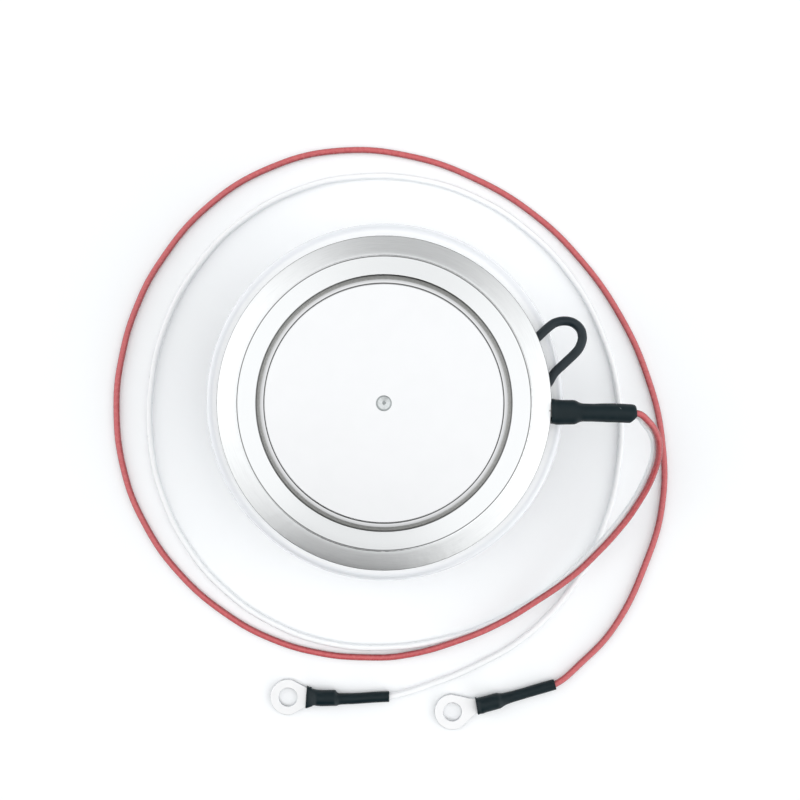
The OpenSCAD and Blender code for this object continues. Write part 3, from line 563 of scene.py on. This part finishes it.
def silicon_metal():
    """Metal coating of the wafer, with the fingers of the gate and its bare bevel."""
    s = Surface("silicon", Metallic=0.9)
    x, y, _ = s.axes(s.place)
    turn = s.math("MULTIPLY", s.math("ARCTAN2", y, x), FINGERS)
    fingers = s.math("GREATER_THAN", s.math("SINE", turn), 0.93)
    ringed = s.math("MULTIPLY", fingers, s.span(s.radius(), 0, 1, *FINGER_START))
    s.set("Base Color", s.mix(ringed, (0.45, 0.46, 0.48), (0.2, 0.21, 0.24)))
    s.set("Roughness", s.span(s.noise(0.001, 3), 0.2, 0.35, 0.3, 0.7))
    s.bump(s.noise(0.0003, 2), 1)
    return s.material


SURFACES = {
    "pole_plating": turned_metal(
        "pole_plating", (0.727, 0.727, 0.732), roughness=0.3, pitch=0.0002, pole=True
    ),
    "lid_sheet": lid_metal(),
    "ring_sheet": sheet_metal("ring_sheet", (0.72, 0.73, 0.72), roughness=0.36),
    "glazed_ceramic": glaze(),
    "molybdenum": turned_metal("molybdenum", (0.42, 0.43, 0.45), roughness=0.4, pitch=0.00015),
    "silicon": silicon_metal(),
    "edge_rubber": plastic("edge_rubber", (0.85, 0.85, 0.82), roughness=0.5, grain=0.0006, microns=10),
    "insulating_plastic": plastic(
        "insulating_plastic", (0.92, 0.91, 0.87), roughness=0.45, grain=0.0004, microns=6
    ),
    "spring_steel": plain_metal(
        "spring_steel", (0.55, 0.52, 0.45), roughness=0.3, grain=0.0002, microns=3
    ),
    "gate_metal": plain_metal("gate_metal", (0.8, 0.8, 0.79), roughness=0.28, grain=0.0002, microns=3),
    "tab_metal": plain_metal("tab_metal", (0.7, 0.7, 0.69), roughness=0.34, grain=0.0003, microns=4),
    "solder": plain_metal("solder", (0.74, 0.75, 0.76), roughness=0.2, grain=0.0006, microns=10),
    # The terminals' edge colour is painted shade on their walls and rounded edges.
    "tinned_copper": plain_metal(
        "tinned_copper", (0.99, 0.985, 0.985), roughness=0.62, grain=0.0004, microns=0.8,
        shade=0.99, edges=(0.6, 0.61, 0.62),
    ),
    "black_sleeving": plastic(
        "black_sleeving", (0.017, 0.0265, 0.033), roughness=0.42, grain=0.0003, microns=6,
        Specular_IOR_Level=0.26,
    ),
    "black_shrink": plastic(
        "black_shrink", (0.0068, 0.0165, 0.0205), roughness=0.45, grain=0.0006, microns=12,
        marks=SCUFF, Specular_IOR_Level=0.2,
    ),
    # The leads' darker side colours are painted shade.
    "red_insulation": plastic(
        "red_insulation", (0.605, 0.123, 0.13), roughness=0.26, grain=0.0003, microns=4,
        shade=0.95, flank_shade=(0.33, 0.054, 0.06),
    ),
    "white_insulation": plastic(
        "white_insulation", (0.97, 0.97, 0.975), roughness=0.34, grain=0.0004, microns=3,
        shade=0.99, flank_shade=(0.84, 0.855, 0.87),
    ),
}


def dress_solids():
    """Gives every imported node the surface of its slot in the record."""
    slots = {row["node"]: row["material_slot"] for row in frame["record"]["subparts"]}
    for name, node in NODES.items():
        for slot in node.material_slots:
            slot.material = SURFACES[slots[name]]


# Shapes


def monotone(xs, ys, x):
    """Smooth value at x through the points (xs, ys), with no overshoot."""
    i = max(k for k in range(len(xs) - 1) if xs[k] <= x or k == 0)
    steps = [(ys[k + 1] - ys[k]) / (xs[k + 1] - xs[k]) for k in range(len(xs) - 1)]

    def slope(k):
        if k in (0, len(xs) - 1):
            return 0.0
        a, b = steps[k - 1], steps[k]
        return 2 * a * b / (a + b) if a * b > 0 else 0.0

    h = xs[i + 1] - xs[i]
    t = (x - xs[i]) / h
    return (
        ys[i] * (1 + 2 * t) * (1 - t) ** 2
        + slope(i) * h * t * (1 - t) ** 2
        + ys[i + 1] * t * t * (3 - 2 * t)
        + slope(i + 1) * h * t * t * (t - 1)
    )


def stations_between(stations, step):
    """The given stations with smooth ones between them, about a step apart."""
    xs = [s[0] for s in stations]
    count = max(2, round((xs[-1] - xs[0]) / step))
    places = [xs[0] + (xs[-1] - xs[0]) * k / count for k in range(count + 1)]
    columns = list(zip(*stations))
    return [(x, *(monotone(xs, column, x) for column in columns[1:])) for x in places]


def turns(count):
    """Angles of that many even steps round a full turn."""
    return [2 * math.pi * k / count for k in range(count)]


def rounded(c, squareness):
    """Sine or cosine of a ring that is round at squareness 2 and boxy above it."""
    return math.copysign(abs(c) ** (2 / squareness), c)


def section(station, sides):
    """Ring of points round a station: x, y, z, half width, half height and squareness."""
    x, y, z, half_w, half_h, squareness = station
    return [
        Vector((
            x,
            y + half_w * rounded(math.sin(a), squareness),
            z + half_h * rounded(math.cos(a), squareness),
        ))
        for a in turns(sides)
    ]


def skin(name, rings):
    """Closed mesh through rings of points, capped at the first and the last."""
    mesh = bmesh.new()
    rows = [[mesh.verts.new(p) for p in ring] for ring in rings]
    for row, after in zip(rows, rows[1:]):
        for k in range(len(row)):
            n = (k + 1) % len(row)
            mesh.faces.new((row[k], row[n], after[n], after[k]))
    mesh.faces.new(list(reversed(rows[0])))
    mesh.faces.new(rows[-1])
    bmesh.ops.recalc_face_normals(mesh, faces=mesh.faces)
    data = bpy.data.meshes.new(name)
    mesh.to_mesh(data)
    mesh.free()
    data.shade_smooth()
    data.set_sharp_from_angle(angle=SKIN_SHARP)
    return data


def between(first, second, share):
    """Ring part of the way from one ring to another."""
    return [a.lerp(b, share) for a, b in zip(first, second)]


def open_sleeve(name, stations, front_hole, back_hole):
    """Shrunk sleeve: an outer skin that turns in at both ends with a round lip and runs back inside,
    down to the hole at each end, so that its wall shows."""
    outer = [section(s, SLEEVE_SIDES) for s in stations_between(stations, SLEEVE_STEP)]
    for ring in outer:
        centre = sum(ring, Vector()) / SLEEVE_SIDES
        for p in ring:
            swell = SWELL_DEPTH * noise.noise(p / SWELL_SIZE)
            p += (p - centre).normalized() * swell
            p.z = max(p.z, 0.0)
    front = section(front_hole, SLEEVE_SIDES)
    back = section(back_hole, SLEEVE_SIDES)
    inward = Vector((MOUTH_DEPTH, 0, 0))
    front_in = [p + inward for p in front]
    back_in = [p - inward for p in back]
    outward = Vector((LIP_REACH, 0, 0))
    front_lip = [p - outward for p in between(outer[0], front, 0.5)]
    back_lip = [p + outward for p in between(outer[-1], back, 0.5)]
    return skin(name, [front_in, front, front_lip, *outer, back_lip, back, back_in])


def curve_piece(name, points, diameter, slot):
    """Round cord along a smooth curve through the points."""
    data = bpy.data.curves.new(name, "CURVE")
    data.dimensions = "3D"
    data.bevel_depth = diameter / 2
    data.bevel_resolution = 8
    data.resolution_u = 10
    data.use_fill_caps = True
    spline = data.splines.new("BEZIER")
    spline.bezier_points.add(len(points) - 1)
    for point, place in zip(spline.bezier_points, points):
        point.co = place
        point.handle_left_type = "AUTO"
        point.handle_right_type = "AUTO"
    return add_object(name, data, SURFACES[slot], slot)


# Pieces


def lead(name, points, exit_yz, terminal, slot):
    """Lead from inside the junction's sleeve, round the capsule and into its terminal's barrel."""
    junction_end = JUNCTION_HIGH.x
    inside = [(LEAD_START_X, *exit_yz), ((LEAD_START_X + junction_end) / 2, *exit_yz)]
    before, past = EXIT_STRAIGHT
    leaving = [(junction_end - before, *exit_yz), (junction_end + past, *exit_yz)]
    near_side, far_side = terminal.side
    along_sleeve = [
        (terminal.end_x, far_side, LEAD_LOW_Z),
        (BARREL_END_X + LEAD_STRAIGHT, near_side, LEAD_LOW_Z),
        (BARREL_END_X, near_side, LEAD_LOW_Z),
    ]
    arriving = [tuple(on_terminal(terminal) @ Vector(place)) for place in along_sleeve]
    piece = curve_piece(name, inside + leaving + points + arriving, LEAD_D, slot)
    return piece


def smooth_path(points, steps):
    """Points on a smooth curve through the given ones."""
    path = []
    for i in range(len(points) - 1):
        a, b = Vector(points[max(i - 1, 0)]), Vector(points[i])
        c, d = Vector(points[i + 1]), Vector(points[min(i + 2, len(points) - 1)])
        for k in range(steps):
            t = k / steps
            bend = 2 * a - 5 * b + 4 * c - d + t * (3 * b - a - 3 * c + d)
            path.append(b + 0.5 * t * (c - a + t * bend))
    return path + [Vector(points[-1])]


def gate_loop():
    """Black sleeve on the gate wire, from the gate tube round to the junction, open at both ends."""
    points = LOOP_START + [(RIM_R + x, y) for x, y in LOOP_POINTS]
    path = smooth_path([(x, y, LOOP_Z) for x, y in points], LOOP_STEPS)
    rings = []
    for i, centre in enumerate(path):
        heading = (path[min(i + 1, len(path) - 1)] - path[max(i - 1, 0)]).normalized()
        across = heading.cross(Vector((0, 0, 1))).normalized()
        up = across.cross(heading)
        spokes = [math.cos(a) * up + math.sin(a) * across for a in turns(LOOP_SIDES)]
        rings.append([(out, centre, heading) for out in spokes])

    def ring(i, radius, shift=0.0):
        return [centre + radius * out + shift * heading for out, centre, heading in rings[i]]

    outer_r = LOOP_D / 2
    bore_r = outer_r - LOOP_WALL
    last = len(path) - 1
    lip_r = outer_r - LOOP_WALL / 2
    start = [ring(0, bore_r, LOOP_MOUTH), ring(0, bore_r), ring(0, lip_r, -MOUTH_INSET)]
    end = [ring(last, lip_r, MOUTH_INSET), ring(last, bore_r), ring(last, bore_r, -LOOP_MOUTH)]
    data = skin("gate_loop", start + [ring(i, outer_r) for i in range(len(path))] + end)
    piece = add_object("gate_loop", data, SURFACES["black_sleeving"], "black_sleeving")
    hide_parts("jumper_sleeve")


def junction_cover():
    """Black sleeve shrunk over the tab, the solder joint and the splice: boxy at the rim, round further
    out, with the far corner cut back where it is pinched onto the two leads."""
    # Stations and holes: x, y, z, half width, half height and squareness
    x, end = JUNCTION_LOW.x, JUNCTION_HIGH.x
    flat_z = RIM_Z - 0.00195
    round_z = RIM_Z - 0.0015
    half_w = 0.00272
    half_h = 0.0024
    stations = [
        (x, -0.00188, flat_z, half_w + 0.00006, half_h + 0.00004, 3.4),
        (x + 0.0004, -0.00188, flat_z, half_w + 0.00011, half_h + 0.00008, 3.2),
        (x + 0.0013, -0.00208, flat_z, half_w + 0.0001, half_h, 3.0),
        (x + 0.0030, -0.0021, flat_z, half_w + 0.00005, half_h, 3.0),
        (x + 0.0048, -0.00209, flat_z, half_w + 0.00004, half_h, 3.0),
        (x + 0.0054, -0.0021, flat_z + 0.00008, half_w - 0.00004, half_h - 0.00006, 2.8),
        (x + 0.0060, -0.00211, flat_z + 0.00022, 0.0024, 0.0022, 2.4),
        (x + 0.0066, -0.00212, flat_z + 0.00036, 0.00215, 0.00205, 2.2),
        (x + 0.0072, -0.00214, round_z, 0.00204, 0.00198, 2.1),
        (x + 0.0090, -0.00217, round_z, 0.00203, 0.00197, 2.0),
        (x + 0.0130, -0.00222, round_z, 0.00213, 0.00197, 2.0),
        (x + 0.0160, -0.00231, round_z, 0.00214, 0.00197, 2.0),
        (end - 0.0012, JUNCTION_END_Y, round_z, JUNCTION_END_R, 0.00196, 2.0),
        (end - 0.0005, -0.00237, round_z, 0.002, 0.00193, 2.0),
        (end - 0.00015, -0.00236, round_z, 0.00186, 0.00184, 2.0),
        (end, -0.00236, round_z, 0.00168, 0.0017, 2.0),
    ]
    front_hole = (x + MOUTH_INSET, -0.00188, flat_z, 0.0023, 0.002, 3.4)
    back_hole = (end - MOUTH_INSET, -0.00255, round_z, 0.0011, 0.00155, 2.0)
    data = open_sleeve("junction_cover", stations, front_hole, back_hole)
    # Far corner cut back on the terminals' side
    corner_y = JUNCTION_END_Y - JUNCTION_END_R + CORNER_CUT
    for v in data.vertices:
        past = (v.co.x - end) - (v.co.y - corner_y)
        if past > 0 and v.co.y < corner_y + CORNER_REACH:
            v.co.x -= past * CORNER_PULL
    piece = add_object("junction_cover", data, SURFACES["black_shrink"], "black_shrink")
    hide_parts("junction_sleeve")


def terminal_plate():
    """Plate of the ring and its tongue, with the stud hole and rounded edges."""
    mesh = bmesh.new()
    sweep = 2 * math.pi - 2 * RING_OPEN_ANGLE
    arc = [RING_OPEN_ANGLE + sweep * k / RING_SIDES for k in range(RING_SIDES + 1)]
    outline = [(RING_R * math.cos(a), RING_R * math.sin(a)) for a in arc]
    outline += TONGUE_SIDE + [(x, -y) for x, y in reversed(TONGUE_SIDE)]
    hole = [(STUD_HOLE_R * math.cos(a), STUD_HOLE_R * math.sin(a)) for a in turns(RING_SIDES)]
    edges = []
    for loop in (outline, hole):
        points = [mesh.verts.new((x, y, TONGUE_LOW_Z)) for x, y in loop]
        edges += [mesh.edges.new(pair) for pair in zip(points, points[1:] + points[:1])]
    bmesh.ops.triangle_fill(mesh, use_beauty=True, edges=edges)
    made = bmesh.ops.extrude_face_region(mesh, geom=mesh.faces[:])
    for v in (g for g in made["geom"] if isinstance(g, bmesh.types.BMVert)):
        v.co.z += TONGUE_T
    bmesh.ops.recalc_face_normals(mesh, faces=mesh.faces)
    rim = [
        e for e in mesh.edges
        if e.calc_face_angle(0) > ROUNDED_FROM
        and abs(e.verts[0].co.z - e.verts[1].co.z) < TONGUE_T / 2
    ]
    bmesh.ops.bevel(mesh, geom=rim, offset=EDGE_ROUND, segments=2, profile=0.5, affect="EDGES")
    data = bpy.data.meshes.new("plate")
    mesh.to_mesh(data)
    mesh.free()
    return data


def ring_terminal(name, node, terminal):
    """Stamped and tinned ring terminal: ring, tongue that rises into the neck, and crimped barrel."""
    plate = bpy.data.objects.new(name + "_plate", terminal_plate())
    tongue_z = TONGUE_LOW_Z + TONGUE_T / 2
    barrel_z = TONGUE_LOW_Z + BARREL_R
    stations = [
        (NECK_X - 0.0006, 0, tongue_z, 0.0016, TONGUE_T / 2 - 0.00002, 8),
        (NECK_X - 0.0001, 0, tongue_z + 0.00005, 0.00165, TONGUE_T / 2 + 0.00005, 6),
        (NECK_X + 0.0004, 0, tongue_z + 0.0005, 0.00165, TONGUE_T / 2 + 0.0005, 4),
        (NECK_X + 0.0011, 0, barrel_z, BARREL_R, BARREL_R, 2.2),
        (BARREL_END_X - 0.0003, 0, barrel_z, BARREL_R, BARREL_R, 2),
        (BARREL_END_X, 0, barrel_z, BARREL_R - 0.0001, BARREL_R - 0.0001, 2),
    ]
    rings = [section(s, BARREL_SIDES) for s in stations_between(stations, NECK_STEP)]
    neck = bpy.data.objects.new(name + "_neck", skin(name + "_neck", rings))
    for made in (plate, neck):
        bpy.context.scene.collection.objects.link(made)
    joined = plate.modifiers.new("neck", "BOOLEAN")
    joined.operation = "UNION"
    joined.solver = "EXACT"
    joined.object = neck
    shape = bpy.data.meshes.new_from_object(plate.evaluated_get(bpy.context.evaluated_depsgraph_get()))
    for made in (plate, neck):
        bpy.data.objects.remove(made)
    shape.name = name
    shape.materials.clear()
    shape.shade_smooth()
    shape.set_sharp_from_angle(angle=STAMPED_SHARP)
    shape.transform(on_terminal(terminal))
    piece = add_object(name, shape, SURFACES["tinned_copper"], "tinned_copper")
    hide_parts(node)
    return piece


def terminal_cover(name, node, terminal):
    """Black sleeve shrunk over a terminal's barrel and the end of its lead."""
    front_w, front_h, end_x = terminal.front_w, terminal.front_h, terminal.end_x
    start = NECK_X - terminal.before
    barrel_z = TONGUE_LOW_Z + BARREL_R
    thick = BARREL_R + SHRINK_WALL
    thin = LEAD_LOW_Z
    tail_l = end_x - BARREL_END_X
    near_side, far_side = terminal.side
    # Step down to the tail: distance past the barrel, share of the way aside, height, half width and
    # half height
    step_down = [
        (0.0002, 0.3, barrel_z - 0.0001, thick - 0.0001, thick - 0.0001),
        (0.0006, 0.8, thin + 0.0003, thin + 0.00032, thin + 0.0003),
        (0.0012, 1.0, thin + 0.00016, thin + 0.00017, thin + 0.00016),
        (0.0022, 1.0, thin + 0.00006, thin + 0.00006, thin + 0.00006),
    ]
    stations = [(start, 0, front_h / 2, front_w / 2, front_h / 2, 3.6)]
    stations += [(NECK_X + x, y, z, half_w, z, boxy) for x, y, z, half_w, boxy in terminal.flare]
    stations += [
        (NECK_X + 0.0016, 0, barrel_z, thick, thick, 2.1),
        (BARREL_END_X - 0.0003, 0, barrel_z, thick, thick, 2),
    ]
    stations += [
        (BARREL_END_X + terminal.taper * x, share * near_side, z, half_w, half_h, 2)
        for x, share, z, half_w, half_h in step_down
    ]
    stations += [
        (BARREL_END_X + 0.3 * tail_l, near_side * 0.94, thin, thin, thin, 2),
        (end_x - 0.25 * tail_l, 0.6 * far_side + 0.2 * near_side, thin, thin - 0.00001, thin, 2),
        (end_x, far_side, thin, thin - 0.00001, thin, 2),
    ]
    front_z = max(TONGUE_LOW_Z + TONGUE_T / 2, front_h / 2)
    front_hole = (start + MOUTH_INSET, 0, front_z, front_w / 2 - SHRINK_WALL, front_h / 2 - SHRINK_WALL, 4)
    back_hole = (end_x - MOUTH_INSET, far_side, LEAD_LOW_Z, thin - SHRINK_WALL, thin - SHRINK_WALL, 2)
    data = open_sleeve(name, stations, front_hole, back_hole)
    for v in data.vertices:
        near_front = max(0.0, 1 - (v.co.x - start) / SLANT_REACH)
        v.co.x += terminal.slant * v.co.y / front_w * min(near_front, 1.0)
    data.transform(on_terminal(terminal))
    piece = add_object(name, data, SURFACES["black_shrink"], "black_shrink")
    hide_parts(node)
    return piece


def floor():
    """Pale table top that keeps the object's shadow."""
    half = FLOOR_HALF
    corners = [(-half, -half, 0), (half, -half, 0), (half, half, 0), (-half, half, 0)]
    mesh = bpy.data.meshes.new("floor")
    mesh.from_pydata(corners, [], [(0, 1, 2, 3)])
    s = Surface("floor", Roughness=0.6, Specular_IOR_Level=0.2)
    s.set("Base Color", s.mix(s.noise(0.03, 3), (0.94, 0.95, 0.96), (0.95, 0.955, 0.96)))
    rays = s.add("ShaderNodeLightPath").outputs
    mirrored = s.math("MAXIMUM", rays["Is Glossy Ray"], rays["Is Transmission Ray"])
    seen = s.math("MAXIMUM", rays["Is Camera Ray"], mirrored)
    s.set("Emission Color", (1, 1, 1, 1))
    s.set("Emission Strength", s.math("MULTIPLY", seen, FLOOR_GLOW))
    piece = add_object("floor", mesh, s.material)


def soft_light(name, place, size_x, size_y, radiance, turn):
    """Rectangular lamp of an even brightness that shines straight down, turned round the vertical."""
    data = bpy.data.lights.new(name, "AREA")
    data.shape = "RECTANGLE"
    data.size = size_x
    data.size_y = size_y
    data.energy = radiance * math.pi * size_x * size_y
    lamp = bpy.data.objects.new(name, data)
    lamp.location = place
    lamp.rotation_euler = (0, 0, turn)
    lamp.visible_camera = False
    bpy.context.scene.collection.objects.link(lamp)


def light_scene():
    """Pale room under one long soft lamp. A dim side each way across the lamp leaves the brushed rim two
    dark fans, and low dim and bright sides even out the ceramic. The camera sees plain white behind
    everything."""
    world = bpy.data.worlds.new("room")
    bpy.context.scene.world = world
    world.use_nodes = True
    room = Graph(world.node_tree)
    background = world.node_tree.nodes["Background"]
    background.inputs["Color"].default_value = ROOM_COLOUR
    direction = room.add("ShaderNodeTexCoord").outputs["Generated"]
    x, y, z = room.axes(direction)
    outward = room.off_axis(direction)
    change = 0.0
    for turn, gain, half_width, begins in UNEVEN_SIDES:
        along_x = room.math("MULTIPLY", x, math.cos(turn))
        along_y = room.math("MULTIPLY", y, math.sin(turn))
        toward = room.math("ADD", along_x, along_y)
        toward = room.math("DIVIDE", toward, room.math("MAXIMUM", outward, 0.001))
        side = room.span(toward, 0, gain, math.cos(half_width), math.cos(SIDE_CORE))
        off_zenith = room.span(outward, 0, 1, begins, begins + SIDE_RISE)
        change = room.math("ADD", change, room.math("MULTIPLY", side, off_zenith))
    change = room.math("MULTIPLY", change, room.span(z, 0, 1, *SIDE_HEIGHTS))
    even = room.span(z, HORIZON_LEVEL, ROOM_LEVEL, *ROOM_HEIGHTS)
    level = room.math("MULTIPLY", even, room.math("ADD", 1, change))
    seen = room.add("ShaderNodeLightPath").outputs["Is Camera Ray"]
    plain = room.math("MULTIPLY", level, room.math("SUBTRACT", 1, seen))
    room.feed(background.inputs["Strength"], room.math("ADD", seen, plain))
    soft_light("overhead", OVERHEAD_PLACE, *OVERHEAD_SIZE, OVERHEAD_LEVEL, OVERHEAD_TURN)


make_camera()
dress_solids()

red_ring = ring_terminal("red_ring", "red_terminal", RED_TERMINAL)
white_ring = ring_terminal("white_ring", "white_terminal", WHITE_TERMINAL)
red_cover = terminal_cover("red_cover", "red_terminal_sleeve", RED_TERMINAL)
white_cover = terminal_cover("white_cover", "white_terminal_sleeve", WHITE_TERMINAL)
red_cord = lead(
    "red_cord", RED_POINTS, RED_EXIT_YZ, RED_TERMINAL, "red_insulation"
)
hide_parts("red_lead")
white_cord = lead(
    "white_cord", WHITE_POINTS, WHITE_EXIT_YZ, WHITE_TERMINAL, "white_insulation",
)
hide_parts("white_lead")
gate_loop()
junction_cover()

floor()
light_scene()
bpy.context.scene.view_settings.view_transform = "Standard"
